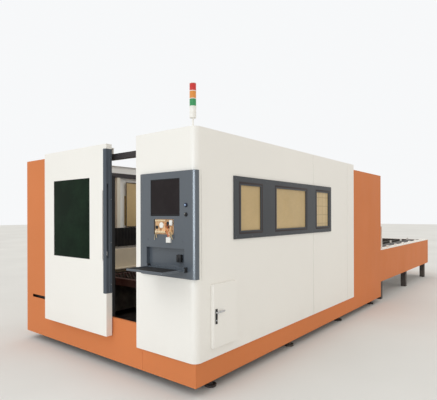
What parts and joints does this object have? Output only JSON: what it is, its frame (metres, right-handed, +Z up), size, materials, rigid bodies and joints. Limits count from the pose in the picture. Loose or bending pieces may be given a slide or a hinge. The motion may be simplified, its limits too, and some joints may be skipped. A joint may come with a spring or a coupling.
{
  "type": "fiber laser cutting machine",
  "caption": "Enclosed fiber laser sheet cutter with sliding front door, corner console, signal tower, windowed side walls and a two-level pallet exchange table.",
  "frame": {"origin": "centre of the machine's box at floor level", "axes": "+Z up, -Y is the front with the sliding door, +Y runs to the exchange table, +X is the side with the console column's corner"},
  "size_m": [2.9569, 9.043, 2.6762],
  "materials": {
    "white_coat": "satin off-white powder coat",
    "orange_coat": "satin orange powder coat",
    "slate_coat": "satin dark blue-grey powder coat",
    "black_coat": "matt black",
    "bare_steel": "ground steel",
    "tan_film": "tan protective film",
    "green_glass": "dark green laser-safe sheet",
    "copper": "machined copper",
    "board_tan": "tan circuit board",
    "cabinet_grey": "light grey powder coat",
    "button_blue": "blue cap",
    "lens_red": "red lens",
    "lens_amber": "amber lens",
    "lens_green": "green lens"
  },
  "bodies": {
    "machine": {"column_shell": "white_coat", "right_wall_front": "white_coat", "right_wall_rear": "white_coat", "left_wall_front": "white_coat", "left_wall_rear": "white_coat", "bed_side_right": "white_coat", "bed_side_left": "white_coat", "signal_mast": "white_coat", "guard_post": "white_coat", "table_strip_right": "white_coat", "table_strip_left": "white_coat", "loose_connector": "white_coat", "front_panel": "orange_coat", "right_panel": "orange_coat", "left_panel": "orange_coat", "rear_portal": "orange_coat", "table_panel_right": "orange_coat", "table_panel_left": "orange_coat", "table_panel_end": "orange_coat", "base_frame": "slate_coat", "side_frame_right": "slate_coat", "side_frame_left": "slate_coat", "header_beam": "slate_coat", "window_frame_right": "slate_coat", "window_frame_left": "slate_coat", "console_housing": "slate_coat", "table_frame": "slate_coat", "rail_guard_right": "black_coat", "rail_guard_left": "black_coat", "monitor": "black_coat", "y_rail_right": "bare_steel", "y_rail_left": "bare_steel", "right_pane_front": "tan_film", "right_pane_middle": "tan_film", "right_pane_rear": "tan_film", "left_pane_front": "tan_film", "left_pane_middle": "tan_film", "left_pane_rear": "tan_film", "control_board": "board_tan", "electrical_cabinet": "cabinet_grey", "signal_red": "lens_red", "signal_amber": "lens_amber", "signal_green": "lens_green"},
    "front_door": {"door_leaf": "white_coat", "door_glass": "green_glass", "door_grip": "slate_coat"},
    "gantry": {"gantry_beam": "white_coat"},
    "carriage": {"carriage": "slate_coat", "head_drive": "white_coat"},
    "cutting_head": {"cutting_head": "slate_coat", "nozzle": "copper"},
    "upper_pallet": {"upper_pallet": "black_coat"},
    "lower_pallet": {"lower_pallet": "black_coat"},
    "rear_gate": {"rear_gate": "slate_coat"},
    "cabinet_door": {"cabinet_door": "white_coat", "handle_plate": "black_coat"},
    "cabinet_lever": {"cabinet_lever": "bare_steel"},
    "keyboard_tray": {"keyboard_tray": "slate_coat"},
    "start_button": {"start_button": "button_blue"},
    "mode_switch": {"mode_switch": "black_coat"}
  },
  "joints": [
    {"name": "front_door_slide", "type": "slide", "parent": "machine", "child": "front_door", "axis": [1, 0, 0], "range_m": [-0.55, 0.37]},
    {"name": "gantry_slide", "type": "slide", "parent": "machine", "child": "gantry", "axis": [0, 1, 0], "range_m": [-2.62, 0.4]},
    {"name": "carriage_slide", "type": "slide", "parent": "gantry", "child": "carriage", "axis": [1, 0, 0], "range_m": [-0.78, 0.78]},
    {"name": "cutting_head_slide", "type": "slide", "parent": "carriage", "child": "cutting_head", "axis": [0, 0, 1], "range_m": [-0.12, 0.05]},
    {"name": "upper_pallet_slide", "type": "slide", "parent": "machine", "child": "upper_pallet", "axis": [0, 1, 0], "range_m": [-4.45, 0]},
    {"name": "lower_pallet_slide", "type": "slide", "parent": "machine", "child": "lower_pallet", "axis": [0, 1, 0], "range_m": [0, 4.45]},
    {"name": "rear_gate_slide", "type": "slide", "parent": "machine", "child": "rear_gate", "axis": [0, 0, 1], "range_m": [-0.36, 0]},
    {"name": "cabinet_door_hinge", "type": "hinge", "parent": "machine", "child": "cabinet_door", "pos_m": [1.44, -3.6765, 0.388], "axis": [0, 0, 1], "range_deg": [0, 110]},
    {"name": "cabinet_lever_hinge", "type": "hinge", "parent": "cabinet_door", "child": "cabinet_lever", "pos_m": [1.4583, -3.9935, 0.697], "axis": [1, 0, 0], "range_deg": [-90, 0]},
    {"name": "keyboard_tray_hinge", "type": "hinge", "parent": "machine", "child": "keyboard_tray", "pos_m": [1.112, -4.2685, 1.08], "axis": [1, 0, 0], "range_deg": [-90, 0]},
    {"name": "start_button_press", "type": "slide", "parent": "machine", "child": "start_button", "axis": [0, 1, 0], "range_m": [0, 0.004], "stiffness_N_per_m": 500, "springref_m": -0.003},
    {"name": "mode_switch_turn", "type": "hinge", "parent": "machine", "child": "mode_switch", "pos_m": [1.331, -4.2435, 1.548], "axis": [0, 1, 0], "range_deg": [-45, 45]}
  ],
  "couplings": [
    {"joint": "lower_pallet_slide", "follows": "upper_pallet_slide", "ratio": -1}
  ]
}
